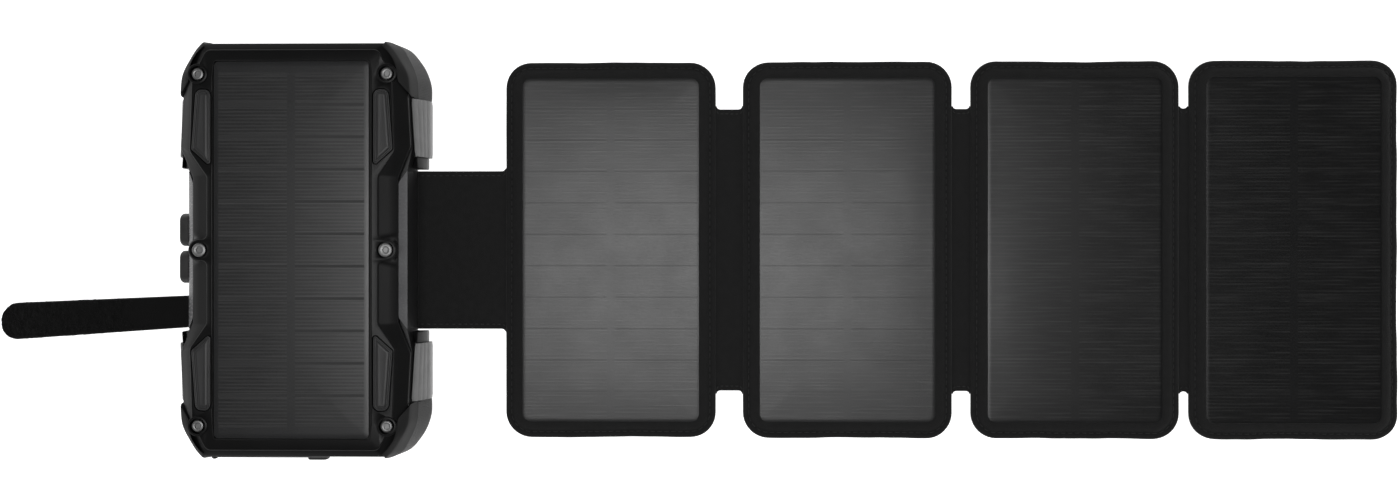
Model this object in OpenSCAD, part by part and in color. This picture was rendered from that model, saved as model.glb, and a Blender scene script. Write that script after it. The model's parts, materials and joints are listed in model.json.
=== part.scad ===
// Folding solar phone charger: a power bank with a solar laminate on its front, four solar
// panels that roll up over it on fabric hinges, and a strap that closes the roll.
//
// Axes: +X runs along the unfolded panels, +Y along the power bank, +Z is up, out of the solar
// faces. The origin is the centre of the power bank's base, on the surface that it lies on.
// The panels are drawn unfolded. Folded, spine 1 stands beside the case, panel 1 lies on top
// and the others are rolled inside it: case, panel 2, panel 4, panel 3, panel 1.

/* [Power bank] */
// Length of the case along Y
body_len = 155; // [152:1:160]
// Height from the base to the face of the case's solar laminate
body_h = 21.5; // [21.2:0.1:22.5]
// Half of the case's width at its ends
end_half_w = 43.6; // [43.2:0.1:44]
// Half of the rear shell's width at its waist
waist_half_w = 41.7; // [41.2:0.1:41.8]
// Half of the front frame's width at its waist
frame_waist = 38.8; // [38.4:0.1:39]
// Height of the rear shell
shell_h = 14.8; // [14.6:0.1:15]
// Width of the case's solar laminate
body_laminate_w = 58.4; // [56:0.1:58.6]
// Length of the case's solar laminate
body_laminate_len = 140.6; // [136:0.2:141]

/* [Panels] */
// Length of a panel along Y
panel_len = 147; // [140:1:150]
// Width of the outermost panel; each next panel is narrower by panel_nest
panel_w = 82.2; // [82:0.1:83]
// How much narrower each panel is than the one before it, so that the roll nests
panel_nest = 0.8; // [0.8:0.1:1]
// Thickness of a panel
panel_t = 3; // [3:0.1:3.2]
// Radius of a panel's outer corners
panel_corner_r = 10; // [6:1:14]
// Width of the fabric border around a panel's solar window
panel_border = 6.7; // [5:0.1:8]
// Air between two panels of the closed roll
pack_gap = 0.4; // [0.4:0.1:0.6]

/* [Fabric hinges] */
// Height of the fabric between two panels, along Y
spine_len = 109.5; // [80:0.5:120]
// Height of the fabric strip between the case and panel 1, along Y
strip_len_y = 61.6; // [50:0.2:61.8]
// Distance from the case's centre to the strip's fold line
strip_x = 42.5; // [42.5:0.1:43]

/* [Strap] */
// Distance from the case's centre to the strap's tip
strap_reach = 122.6; // [110:0.2:126]
// Width of the strap where it leaves the case
strap_w = 12.4; // [11:0.2:13]
// Width of the strap at its tip
strap_tip_w = 14.6; // [12:0.2:18]

/* [Hidden] */
$fn = 48;

// Levels of the case
wall = 2.2;
half_len = body_len / 2;
pocket_h = 2.4;                          // underside pocket that holds the fabric's clamp
floor_top = 4.2;
seam_t = 0.6;                            // gasket between shell and frame
frame_z = shell_h + seam_t;
laminate_t = 1.2;
deck_z = body_h - 0.9;                   // plate around the laminate, where the screws sit
frame_floor_z = deck_z - 2.2;
slope_z = 17.4;                          // where the frame's side starts to slope inwards
slope_steps = 4;
cavity_z = 16.6;                         // roof of the cavity's wide lower part
deck_half = [30, 71.2];                  // rim around the laminate

// Screws that hold the frame to the shell
screw_at = [[35.5, 65.8], [-35.5, 65.8], [-35.5, -65.8], [35.5, -65.8], [35, 0], [-35, 0]];
boss_r = 3.2;
collar_r = 3.8;
screw_r = 1.2;
screw_bore_r = 1.3;
screw_head_r = 2.25;
head_seat_z = deck_z - 1.2;
screw_tip_z = 7;

// Ports in the -Y end, under the cover
port_z = [6.2, 12.6];
port_x = [-30, 10.5];
usb_x = [-21.5, -6.9];
usb_size = [13.2, 11, 5.8];
usb_mouth = [12, 9.4, 4.7];
charge_x = 5;
charge_size = [9, 8, 3.4];
charge_mouth = [8.2, 6, 2.5];
socket_face_y = -half_len + 1.6;
board_z = 5.2;
board_t = 1.2;
cover_t = 1.2;
cover_z = [5, 13.4];
cover_end_x = 11;
cover_axis = [-32, -half_len - 0.9];
cover_tab_x = [2, 9.6];
cover_tab_reach = 1.9;
pin_r = 0.5;
knuckle_r = 0.8;

// Buttons in the -X waist
button_z = [7, 14];
button_y = [[1.5, 14], [-12.6, -0.2]];
button_face_x = -46;
button_gap = 1;
button_stem_r = 1.5;
light_y = [17.5, 20.5, 23.5, 26.5];
light_z = 11;
light_r = 0.9;
lamp_z = 9.5;
lamp_r = 4;

// Clamp under the case
clamp_half = 36;
clamp_t = 1.2;
clamp_screw_at = [[30, 33.6], [-30, 33.6], [-30, -33.6], [30, -33.6]];
clamp_screw_r = 0.95;
sheet_z = clamp_t + 0.05;

// Roll of panels
mid_z = panel_t / 2;                     // every fold line lies at this height
pitch = panel_t + pack_gap;
strip_len = body_h + 2 + 3 * pitch;      // lifts panel 2 clear of the case
spine_t = 0.5;
spine_edge = 0.5;                        // spine to fold line
panel_edge = 0.6;                        // panel to fold line
rim_w = 3;                               // stitched rim, thinner than the panel
rim_t = 2;
board_inset = panel_border - 1.6;
board_top = 2;
panel_laminate_t = 0.7;
pocket_floor = 0.6;
window_r = 2.2;

function width(n) = panel_w - panel_nest * (n - 1);
function gap(n) = (4 - n) * pitch;
function inner_x(n) = n == 1 ? strip_x + strip_len : outer_x(n - 1) + gap(n - 1);
function outer_x(n) = inner_x(n) + width(n);
function panel_x0(n) = inner_x(n) + panel_edge;
function panel_x1(n) = outer_x(n) - (n < 4 ? panel_edge : 0);

// Strap, drawn flat towards -X
strap_x = -43.2;
strap_t = 1.6;
strap_z = 1.4;                           // height of the strap's own fold lines
strap_edge = 1.2;
strap_riser_len = strip_len + 3.7;
strap_knee_x = strap_x - strap_riser_len;
strap_y = -23.8;
strap_tip_y = -28.3;

function strap_run(x) = (x - strap_x) / (-strap_reach - strap_x);
function strap_mid(x) = strap_y + (strap_tip_y - strap_y) * strap_run(x);
function strap_half(x) = (strap_w + (strap_tip_w - strap_w) * strap_run(x)) / 2;

// Closed outlines with rounded corners
function unit(v) = v / norm(v);
function fillet(a, b, c, r, n = 6) =
    let (u = unit(a - b), v = unit(c - b), half = acos(u * v) / 2,
         centre = b + unit(u + v) * r / sin(half), p = b + u * r / tan(half) - centre,
         q = b + v * r / tan(half) - centre, a0 = atan2(p.y, p.x),
         turn = (atan2(q.y, q.x) - a0 + 540) % 360 - 180)
    [for (i = [0:n]) centre + r * [cos(a0 + turn * i / n), sin(a0 + turn * i / n)]];
function rounded(pts, radii) =
    let (n = len(pts))
    [for (i = [0:n - 1]) each fillet(pts[(i + n - 1) % n], pts[i], pts[(i + 1) % n],
        radii[i % len(radii)])];
function rect_pts(x0, y0, x1, y1) = [[x0, y0], [x1, y0], [x1, y1], [x0, y1]];
function reversed(pts) = [for (i = [len(pts) - 1:-1:0]) pts[i]];
function flip(pts, sx, sy) = [for (p = pts) [sx * p.x, sy * p.y]];
function four_way(q) = concat(q, flip(reversed(q), -1, 1), flip(q, -1, -1),
    flip(reversed(q), 1, -1));
function corner(i, pts) = flip(pts, i == 1 || i == 4 ? 1 : -1, i <= 2 ? 1 : -1);

module slab(z0, z1) translate([0, 0, z0]) linear_extrude(z1 - z0) children();
module rounded_slab(x0, y0, x1, y1, r, z0, z1)
    slab(z0, z1) polygon(rounded(rect_pts(x0, y0, x1, y1), [r]));
module box(x, y, z) translate([x[0], y[0], z[0]]) cube([x[1] - x[0], y[1] - y[0], z[1] - z[0]]);
module along_x(x0, y, z, len, r)
    translate([x0, y, z]) rotate([0, 90, 0]) cylinder(h = len, r = r);
module along_y(x, y0, z, len, r)
    translate([x, y0, z]) rotate([-90, 0, 0]) cylinder(h = len, r = r);

// Plans of the case: narrow at the waist, wide at the ends, with cut corners. Each is drawn from
// the corners of its +X +Y quarter.
case_radii = [4, 4, 4, 2, 2, 4, 4, 4];
plate_quarter = [[32.3, 27.5], [38.6, 36.8], [37.7, 64], [32.4, half_len - 2.6]];
function case_quarter(waist) = [[waist, waist - 10.4], [end_half_w, 38.8],
    [end_half_w - 1.5, 66.4], [34.9, half_len]];
module plan(quarter, grow) offset(delta = grow) polygon(rounded(four_way(quarter), case_radii));
module case_plan(waist, grow = 0) plan(case_quarter(waist), grow);
module slope_plan(f) plan((1 - f) * case_quarter(frame_waist) + f * plate_quarter, 0);

module screw_columns(r, z0, z1)
    for (p = screw_at) translate([p.x, p.y, z0]) cylinder(h = z1 - z0, r = r);

// Ears that hold the port cover's hinge pin
module cover_ears() for (z = [cover_z[0] - 1.3, cover_z[1] + 0.2])
    box([cover_axis.x - knuckle_r, cover_axis.x + knuckle_r],
        [cover_axis.y - knuckle_r, -half_len + 1], [z, z + 1.1]);

module rear_shell() color("#2b2d30") difference() {
    union() {
        difference() {
            slab(0, shell_h) case_plan(waist_half_w);
            slab(floor_top, shell_h + 1) case_plan(frame_waist, -wall);
        }
        screw_columns(boss_r, floor_top - 1, frame_z);
        cover_ears();
    }
    screw_columns(screw_bore_r, screw_tip_z - 0.5, frame_z + 1);
    // pocket for the clamp plate, open to the strip and to the strap
    box([-37, 37], [-37, 37], [-1, pocket_h]);
    box([0, 50], [-strip_len_y / 2 - 0.5, strip_len_y / 2 + 0.5], [-1, pocket_h]);
    box([-50, 0], [strap_y - strap_w / 2 - 0.6, strap_y + strap_w / 2 + 0.6], [-1, pocket_h]);
    for (p = clamp_screw_at)
        translate([p.x, p.y, 1]) cylinder(h = 2.9, r = clamp_screw_r + 0.05);
    box(port_x, [-half_len - 1, -half_len + 4], port_z);
    translate([cover_axis.x, cover_axis.y, 0]) cylinder(h = shell_h, r = pin_r + 0.1);
    for (y = button_y) along_x(-45, (y[0] + y[1]) / 2, 10.5, 12, button_stem_r + 0.3);
    for (y = light_y) along_x(-45, y, light_z, 12, light_r + 0.05);
    along_y(0, half_len - 5, lamp_z, 6, lamp_r + 0.1);
}

module shell_gasket() color("#141414") slab(shell_h, frame_z) difference() {
    case_plan(frame_waist, -0.5);
    case_plan(frame_waist, -1.6);
    for (p = screw_at) translate(p) circle(r = boss_r + 0.1);
}

module inlay_plan(i, grow = 0) polygon(corner(i, rounded([[30.5 - grow, 60 + grow],
    [30.5 - grow, 31 - grow], [37.8 + grow, 37.6 - grow], [36.2 + grow, 60 + grow]],
    [2.4, 0.9, 1, 2.4])));

// Frame with a sloped side, cut as steps, up to the plate that carries the laminate
module front_frame() color("#26282b") difference() {
    union() {
        slab(frame_z, slope_z) case_plan(frame_waist);
        for (k = [1:slope_steps - 1])
            slab(frame_z, slope_z + k * (deck_z - slope_z) / slope_steps)
                slope_plan(k / slope_steps);
        slab(frame_z, deck_z) plan(plate_quarter, 0);
        for (p = screw_at)
            translate([p.x, p.y, slope_z]) cylinder(h = deck_z - slope_z, r = collar_r);
        rounded_slab(-deck_half.x, -deck_half.y, deck_half.x, deck_half.y, 3, deck_z - 1,
            body_h - 0.2);
    }
    rounded_slab(-body_laminate_w / 2 - 0.15, -body_laminate_len / 2 - 0.15,
        body_laminate_w / 2 + 0.15, body_laminate_len / 2 + 0.15, 1.6, body_h - laminate_t,
        body_h + 1);
    difference() {
        union() {
            slab(frame_z - 1, cavity_z) case_plan(frame_waist, -wall);
            slab(cavity_z - 1, frame_floor_z) plan(plate_quarter, -wall);
        }
        screw_columns(boss_r, frame_z - 2, frame_floor_z + 1);
    }
    screw_columns(screw_r + 0.3, frame_z - 1, body_h);
    screw_columns(screw_head_r + 0.15, head_seat_z, body_h);
    for (i = [1:4]) slab(deck_z - 0.6, deck_z + 1) inlay_plan(i, 0.1);
}

module body_laminate() color("#1d2026") rounded_slab(-body_laminate_w / 2,
    -body_laminate_len / 2, body_laminate_w / 2, body_laminate_len / 2, 1.5,
    body_h - laminate_t, body_h);

// Six machine screws with a hexagon socket
module frame_screws() color("silver") for (p = screw_at) translate([p.x, p.y, 0])
    difference() {
        union() {
            translate([0, 0, screw_tip_z]) cylinder(h = head_seat_z - screw_tip_z + 0.1, r = screw_r);
            translate([0, 0, head_seat_z]) cylinder(h = 1.5, r = screw_head_r);
        }
        translate([0, 0, head_seat_z + 0.6]) cylinder(h = 1, r = 1.15, $fn = 6);
    }

// Rubber corner, wrapped around the case's end, wider towards its foot
bumper_foot = [[33.5, half_len - 4], [33.8, half_len + 2.2], [38, 78.4], [43.4, 73.6], [46.6, 67],
    [47.9, 60.5], [47.9, 57.4], [38, 57.4], [36, 66]];
bumper_top = [[33.5, half_len - 4], [33.8, half_len + 1.4], [38, 76.6], [42.2, 71.4], [44.2, 65.6],
    [45, 60.5], [45, 57.4], [38, 57.4], [36, 66]];
bumper_levels = [[2.5, 0], [6, 0.35], [8.5, 0.7], [11, 1], [16.5, 1]];
module bumper(i) color("#303236") difference() {
    for (k = [0:len(bumper_levels) - 2]) {
        f = bumper_levels[k][1];
        slab(bumper_levels[0][0], bumper_levels[k + 1][0]) polygon(corner(i,
            rounded((1 - f) * bumper_foot + f * bumper_top, [0.4, 0.6, 2, 3, 3, 2, 0.6, 1, 1])));
    }
    slab(0, body_h) case_plan(waist_half_w, 0.12);
}

// Ribbed grip on the side of the case, a wedge that leans outwards, with a short clip beside it
grip_z = [3, 14.6];
grip_reach = 48.2;
grip_slope = [[43.9, 14.6], [grip_reach, 6.8]];
grip_ribs = 4;
rib_lift = [0.26, 0.15];
module wedge(i, pts, y0, y1) translate([0, i <= 2 ? y1 : -y0, 0]) rotate([90, 0, 0])
    linear_extrude(y1 - y0) polygon(flip(pts, i == 1 || i == 4 ? 1 : -1, 1));
module grip(i) color("#6d6f72") difference() {
    union() {
        wedge(i, concat([[40, grip_z[0]], [40, grip_z[1]]],
            [for (k = [0:2 * grip_ribs]) grip_slope[0] + (grip_slope[1] - grip_slope[0]) * k
                / (2 * grip_ribs) + (k % 2) * rib_lift], [[grip_reach, grip_z[0]]]), 35.4, 57);
        wedge(i, [[40, 3], [40, 12], [44.6, 12], [47.4, 7], [47.4, 3]], 31.8, 33.8);
        wedge(i, [[40, 3], [40, 5.5], [47.4, 5.5], [47.4, 3]], 31.9, 36);
    }
    slab(0, body_h) case_plan(waist_half_w, 0.12);
}

module inlay(i) color("#3a3c3f") slab(deck_z - 0.6, deck_z + 0.15) inlay_plan(i);

// Glossy crescent along the waist, on the rear shell's shoulder
module side_trim(side) color("#8f9194") slab(shell_h, 17.2)
    polygon(flip([[frame_waist + 0.1, -25.5], [waist_half_w - 0.2, -29.8],
        [waist_half_w - 0.2, 29.8], [frame_waist + 0.1, 25.5]], side, 1));

module battery_cell(k) color("#9aa0a8")
    rounded_slab(-29.5, k == 1 ? 8.5 : -49, 29.5, k == 1 ? 66 : 7.5, 3, floor_top + 0.8, 16);

module circuit_board() color("darkgreen")
    box([-31, 24], [socket_face_y + 2, -51.5], [board_z, board_z + board_t]);

// Metal shell of a socket, open towards -Y
module socket(x, size, mouth) translate([x, socket_face_y, board_z + board_t]) difference() {
    translate([-size.x / 2, 0, 0]) cube(size);
    translate([-mouth.x / 2, -1, (size.z - mouth.z) / 2]) cube([mouth.x, mouth.y + 1, mouth.z]);
}
module usb_socket(k) color("silver") socket(usb_x[k - 1], usb_size, usb_mouth);
module charge_socket() color("silver") socket(charge_x, charge_size, charge_mouth);

module lamp_lens() color("white") along_y(0, half_len - 2.2, lamp_z, 2, lamp_r);
module lamp_led() color("khaki") along_y(0, half_len - 5.4, lamp_z, 3.1, 2.4);
module indicator_lights() color("white")
    for (y = light_y) along_x(-waist_half_w, y, light_z, 5, light_r);

module clamp_plate() color("#202123") difference() {
    rounded_slab(-clamp_half, -clamp_half, clamp_half, clamp_half, 4, 0, clamp_t);
    for (p = clamp_screw_at) translate([p.x, p.y, -0.01]) {
        cylinder(h = 3, r = clamp_screw_r + 0.1);
        cylinder(h = 1, r1 = 2, r2 = 1);
    }
}
module clamp_screws() color("silver") for (p = clamp_screw_at) translate([p.x, p.y, 0]) {
    cylinder(h = 3.8, r = clamp_screw_r);
    cylinder(h = 0.85, r1 = 1.8, r2 = clamp_screw_r);
}

module strip_root() color("#1b1b1c") box([4, strip_x - panel_edge],
    [-strip_len_y / 2, strip_len_y / 2], [sheet_z, sheet_z + 0.75]);
module strap_root() color("#101011") box([strap_x + strap_edge, -4],
    [strap_y - strap_w / 2, strap_y + strap_w / 2], [sheet_z, sheet_z + 0.5]);

module button(k) color("#3b3d40") {
    y = button_y[k];
    cap_x = -waist_half_w - button_gap;
    translate([button_face_x, 0, 0]) rotate([90, 0, 90]) linear_extrude(cap_x - button_face_x)
        polygon(rounded(rect_pts(y[0], button_z[0], y[1], button_z[1]), [3]));
    along_x(cap_x - 0.1, (y[0] + y[1]) / 2, (button_z[0] + button_z[1]) / 2, 7, button_stem_r);
}

// Rubber flap over the ports, on a pin at its -X end, with a pull tab
module port_cover() color("#2f3134") {
    box([cover_axis.x, cover_end_x], [cover_axis.y - cover_t / 2, cover_axis.y + cover_t / 2],
        cover_z);
    box(cover_tab_x, [-half_len - 0.9 - cover_tab_reach, cover_axis.y], [7, 11.4]);
    translate([cover_axis.x, cover_axis.y, cover_z[0]])
        cylinder(h = cover_z[1] - cover_z[0], r = knuckle_r);
    translate([cover_axis.x, cover_axis.y, cover_z[0] - 1])
        cylinder(h = cover_z[1] - cover_z[0] + 2, r = pin_r);
}

// Fabric between the case and panel 1 (n = 1), or between panels n - 1 and n
module spine(n) color("#232325") {
    x0 = n == 1 ? strip_x : outer_x(n - 1);
    half = (n == 1 ? strip_len_y : spine_len) / 2;
    box([x0 + spine_edge, inner_x(n) - spine_edge], [-half, half],
        [mid_z - spine_t / 2, mid_z + spine_t / 2]);
}

// A panel's outline, moved in by inset
module panel_slab(n, inset, r, z0, z1) rounded_slab(panel_x0(n) + inset, -panel_len / 2 + inset,
    panel_x1(n) - inset, panel_len / 2 - inset, r, z0, z1);

module panel_back(n) color("#2a2a2c") difference() {
    union() {
        panel_slab(n, rim_w, panel_corner_r - rim_w, 0, mid_z);
        panel_slab(n, 0, panel_corner_r, mid_z - rim_t / 2, mid_z);
    }
    panel_slab(n, board_inset, window_r, pocket_floor, panel_t);
    if (n == 1) loop_patch_block(-1, pocket_floor);
}
module panel_board(n) color("#b9a986")
    panel_slab(n, board_inset, window_r, pocket_floor, board_top);
module panel_laminate(n) color("#16191f")
    panel_slab(n, board_inset, window_r, board_top, board_top + panel_laminate_t);
module panel_front(n) color("#2e2e30") difference() {
    union() {
        panel_slab(n, 0, panel_corner_r, mid_z, mid_z + rim_t / 2);
        panel_slab(n, rim_w, panel_corner_r - rim_w, mid_z, panel_t);
    }
    panel_slab(n, board_inset, window_r, 0, board_top + panel_laminate_t);
    panel_slab(n, panel_border, window_r, 0, panel_t + 1);
}

// Loop fastener on the back of panel 1, where the strap's tip lands on the closed roll
module loop_patch_block(z0, z1) box([outer_x(1) - 31, outer_x(1) - 6], [-35, -19], [z0, z1]);
module loop_patch() color("#0e0e0f") loop_patch_block(0, pocket_floor);

module strap_piece(x0, x1, end_r) slab(strap_z - strap_t / 2, strap_z + strap_t / 2)
    polygon(rounded([[x0, strap_mid(x0) - strap_half(x0)], [x0, strap_mid(x0) + strap_half(x0)],
        [x1, strap_mid(x1) + strap_half(x1)], [x1, strap_mid(x1) - strap_half(x1)]],
        [0.3, 0.3, end_r, end_r]));
module strap_riser() color("#0f0f10")
    strap_piece(strap_x - strap_edge, strap_knee_x + strap_edge, 0.3);
module strap_tip() color("#0b0b0c") strap_piece(strap_knee_x - strap_edge, -strap_reach, 6.5);

rear_shell();
front_frame();
shell_gasket();
body_laminate();
frame_screws();
for (i = [1:4]) {
    bumper(i);
    grip(i);
    inlay(i);
}
side_trim(1);  // side_trim_1
side_trim(-1);  // side_trim_2
for (k = [1:2]) {
    battery_cell(k);
    usb_socket(k);
}
circuit_board();
charge_socket();
lamp_lens();
lamp_led();
indicator_lights();
clamp_plate();
clamp_screws();
strip_root();
strap_root();
button(0);  // power_button
button(1);  // light_button
port_cover();
for (n = [1:4]) {
    spine(n);
    panel_back(n);
    panel_board(n);
    panel_laminate(n);
    panel_front(n);
}
loop_patch();
strap_riser();
strap_tip();
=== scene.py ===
import json
import math
import random

import bmesh
import bpy
from mathutils import Matrix, Vector, noise


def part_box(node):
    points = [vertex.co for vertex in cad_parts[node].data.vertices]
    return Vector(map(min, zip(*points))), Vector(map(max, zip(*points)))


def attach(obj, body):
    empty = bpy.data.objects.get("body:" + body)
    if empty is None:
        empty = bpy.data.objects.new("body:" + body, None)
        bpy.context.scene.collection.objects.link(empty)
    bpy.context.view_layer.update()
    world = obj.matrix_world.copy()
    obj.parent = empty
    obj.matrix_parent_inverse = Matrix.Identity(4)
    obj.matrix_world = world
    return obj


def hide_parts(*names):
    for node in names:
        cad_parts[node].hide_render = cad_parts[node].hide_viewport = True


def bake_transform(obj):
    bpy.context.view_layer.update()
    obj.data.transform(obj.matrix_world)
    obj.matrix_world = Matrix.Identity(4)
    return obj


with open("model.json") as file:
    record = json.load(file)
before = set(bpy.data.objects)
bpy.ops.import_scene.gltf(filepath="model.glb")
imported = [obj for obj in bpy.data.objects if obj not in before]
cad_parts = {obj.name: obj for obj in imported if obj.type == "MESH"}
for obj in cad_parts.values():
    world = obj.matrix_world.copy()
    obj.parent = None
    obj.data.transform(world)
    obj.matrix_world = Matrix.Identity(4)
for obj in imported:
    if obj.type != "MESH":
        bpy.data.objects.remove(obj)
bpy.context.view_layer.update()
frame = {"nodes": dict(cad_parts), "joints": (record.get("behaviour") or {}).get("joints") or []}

MM = 0.001
PANELS = (1, 2, 3, 4)


def mm_box(node):
    """A CAD node's lowest and highest corners, in millimetres."""
    low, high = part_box(node)
    return [c / MM for c in low], [c / MM for c in high]


joints = {j["name"]: j for j in frame["joints"]}


def fold_x(name):
    return joints[name]["pos_m"][0] / MM


# ---------------------------------------------------------------- camera and light

CAMERA_AT = (158.0, 0.0, 398.0)
CAMERA_YAW = 0.857
LENS_MM = 26.17


def add_camera():
    data = bpy.data.cameras.new("camera")
    data.lens = LENS_MM
    data.sensor_width = 36.0
    data.clip_start = 0.01
    camera = bpy.data.objects.new("camera", data)
    camera.location = [c * MM for c in CAMERA_AT]
    camera.rotation_euler = (0, math.radians(CAMERA_YAW), 0)
    bpy.context.collection.objects.link(camera)
    bpy.context.scene.camera = camera


def add_softbox(name, at, size, power):
    """A rectangular light that faces straight down."""
    data = bpy.data.lights.new(name, "AREA")
    data.shape = "RECTANGLE"
    data.size, data.size_y = size
    data.energy = power
    light = bpy.data.objects.new(name, data)
    light.location = at
    bpy.context.collection.objects.link(light)


def add_world():
    """A studio that is white near the horizon and dark overhead, so that flat faces stay dark."""
    world = bpy.data.worlds.new("studio")
    bpy.context.scene.world = world
    world.use_nodes = True
    nodes, links = world.node_tree.nodes, world.node_tree.links
    background = nodes["Background"]
    place = nodes.new("ShaderNodeTexCoord")
    split = nodes.new("ShaderNodeSeparateXYZ")
    ramp = nodes.new("ShaderNodeValToRGB")
    links.new(place.outputs["Generated"], split.inputs[0])
    links.new(split.outputs["Z"], ramp.inputs["Fac"])
    stops = ramp.color_ramp
    stops.elements[0].position = 0.0
    stops.elements[0].color = (1, 1, 1, 1)
    stops.elements[1].position = 0.6
    stops.elements[1].color = (0.012, 0.012, 0.012, 1)
    middle = stops.elements.new(0.28)
    middle.color = (0.85, 0.85, 0.85, 1)
    links.new(ramp.outputs["Color"], background.inputs["Color"])
    background.inputs["Strength"].default_value = 1.1


# ---------------------------------------------------------------- node helpers


class Nodes:
    """Short calls for building a node tree."""

    def __init__(self, name):
        self.material = bpy.data.materials.new(name)
        self.material.use_nodes = True
        self.tree = self.material.node_tree
        self.shader = self.tree.nodes["Principled BSDF"]

    def link(self, a, b):
        self.tree.links.new(a, b)

    def put(self, value, socket):
        if isinstance(value, bpy.types.NodeSocket):
            self.link(value, socket)
        else:
            socket.default_value = value

    def math(self, operation, *values, clamp=False):
        node = self.tree.nodes.new("ShaderNodeMath")
        node.operation = operation
        node.use_clamp = clamp
        for i, value in enumerate(values):
            self.put(value, node.inputs[i])
        return node.outputs[0]

    def uv(self):
        """Texture coordinates in millimetres, as (x, y)."""
        node = self.tree.nodes.new("ShaderNodeTexCoord")
        split = self.tree.nodes.new("ShaderNodeSeparateXYZ")
        self.link(node.outputs["UV"], split.inputs[0])
        return node.outputs["UV"], split.outputs[0], split.outputs[1]

    def noise(self, vector, scale, detail=3.0, roughness=0.55):
        node = self.tree.nodes.new("ShaderNodeTexNoise")
        self.link(vector, node.inputs["Vector"])
        node.inputs["Scale"].default_value = scale
        node.inputs["Detail"].default_value = detail
        node.inputs["Roughness"].default_value = roughness
        return node.outputs["Fac"]

    def cells(self, vector, scale, randomness=1.0):
        node = self.tree.nodes.new("ShaderNodeTexVoronoi")
        self.link(vector, node.inputs["Vector"])
        node.inputs["Scale"].default_value = scale
        node.inputs["Randomness"].default_value = randomness
        return node.outputs["Distance"]

    def mix(self, factor, a, b):
        node = self.tree.nodes.new("ShaderNodeMix")
        node.data_type = "RGBA"
        self.put(factor, node.inputs["Factor"])
        self.put(a, node.inputs["A"])
        self.put(b, node.inputs["B"])
        return node.outputs["Result"]

    def range(self, value, low, high, to_low=0.0, to_high=1.0):
        node = self.tree.nodes.new("ShaderNodeMapRange")
        self.put(value, node.inputs["Value"])
        for key, number in (("From Min", low), ("From Max", high), ("To Min", to_low),
                            ("To Max", to_high)):
            node.inputs[key].default_value = number
        return node.outputs["Result"]

    def bump(self, height, strength, distance):
        node = self.tree.nodes.new("ShaderNodeBump")
        self.link(height, node.inputs["Height"])
        node.inputs["Strength"].default_value = strength
        node.inputs["Distance"].default_value = distance
        self.link(node.outputs["Normal"], self.shader.inputs["Normal"])

    def set(self, **values):
        for key, value in values.items():
            self.put(value, self.shader.inputs[key.replace("_", " ")])


def grey(value, tint=(1.0, 1.0, 1.0)):
    return (value * tint[0], value * tint[1], value * tint[2], 1.0)


def moulded_plastic(name, value, rough=0.5, tint=(1.0, 1.0, 1.03), grain=0.35, specular=0.5):
    """Moulded plastic with a fine spark-eroded grain and broad, slightly paler worn patches spread at
    random.
    """
    n = Nodes(name)
    uv, _, _ = n.uv()
    fine = n.noise(uv, 1 / grain, 2.0)
    broad = n.noise(uv, 0.08, 4.0)
    n.set(Base_Color=n.mix(n.range(broad, 0.35, 0.7), grey(value, tint), grey(value * 1.3, tint)),
          Roughness=n.range(fine, 0.3, 0.7, rough - 0.07, rough + 0.08),
          Specular_IOR_Level=specular)
    n.bump(fine, 0.35, 0.00003)
    return n.material


def dotted_rubber(name, value, pitch=0.62):
    """Rubber moulded with a field of tiny raised dots."""
    n = Nodes(name)
    uv, _, _ = n.uv()
    dot = n.range(n.cells(uv, 1 / pitch, 0.15), 0.12, 0.42, 1.0, 0.0)
    broad = n.noise(uv, 0.12, 3.0)
    n.set(Base_Color=n.mix(n.range(broad, 0.3, 0.7), grey(value), grey(value * 1.35)),
          Roughness=n.range(dot, 0.0, 1.0, 0.62, 0.5), Specular_IOR_Level=0.45)
    n.bump(dot, 0.8, 0.00012)
    return n.material


def smooth_rubber(name, value, rough=0.55, specular=0.4):
    n = Nodes(name)
    uv, _, _ = n.uv()
    broad = n.noise(uv, 0.2, 4.0)
    n.set(Base_Color=n.mix(n.range(broad, 0.3, 0.7), grey(value), grey(value * 1.25)),
          Roughness=n.range(broad, 0.2, 0.8, rough - 0.06, rough + 0.06),
          Specular_IOR_Level=specular)
    n.bump(n.noise(uv, 3.0, 2.0), 0.25, 0.00004)
    return n.material


def woven_fabric(name, value, pitch=0.42, tint=(1.0, 1.0, 1.01), sheen=0.12):
    """Plain-weave polyester: over-and-under threads, faint streaks and soft mottling, with painted shade:
    the colour is darker where the threads dip and paler on their crowns.
    """
    n = Nodes(name)
    uv, x, y = n.uv()
    turn = 2 * math.pi / pitch
    warp = n.math("SINE", n.math("MULTIPLY", x, turn))
    weft = n.math("SINE", n.math("MULTIPLY", y, turn))
    over = n.math("MULTIPLY", warp, weft)
    threads = n.math("ADD", n.math("ABSOLUTE", warp), n.math("ABSOLUTE", weft))
    height = n.math("ADD", n.math("MULTIPLY", over, 0.6), n.math("MULTIPLY", threads, 0.35))
    mottled = n.noise(uv, 0.35, 5.0, 0.65)
    # painted shade: the weave height darkens the colour in the dips between threads and lightens their
    # crowns; the mottling is random tone
    shade = n.math("ADD", n.range(height, -0.6, 1.3, -0.25, 0.25), n.range(mottled, 0.3, 0.7))
    n.set(Base_Color=n.mix(n.range(shade, 0.0, 1.0), grey(value * 0.7, tint),
                           grey(value * 1.3, tint)),
          Roughness=n.range(mottled, 0.3, 0.7, 0.78, 0.9),
          Specular_IOR_Level=0.25, Sheen_Weight=sheen, Sheen_Roughness=0.4)
    n.bump(height, 0.7, 0.0001)
    return n.material


def hook_tape(name, value):
    """Dense nap of a hook-and-loop strap."""
    n = Nodes(name)
    uv, _, _ = n.uv()
    nap = n.noise(uv, 2.2, 6.0, 0.75)
    n.set(Base_Color=n.mix(n.range(nap, 0.35, 0.7), grey(value * 0.6), grey(value * 1.9)),
          Roughness=0.92, Specular_IOR_Level=0.15, Sheen_Weight=0.1)
    n.bump(nap, 0.9, 0.0003)
    return n.material


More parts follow.
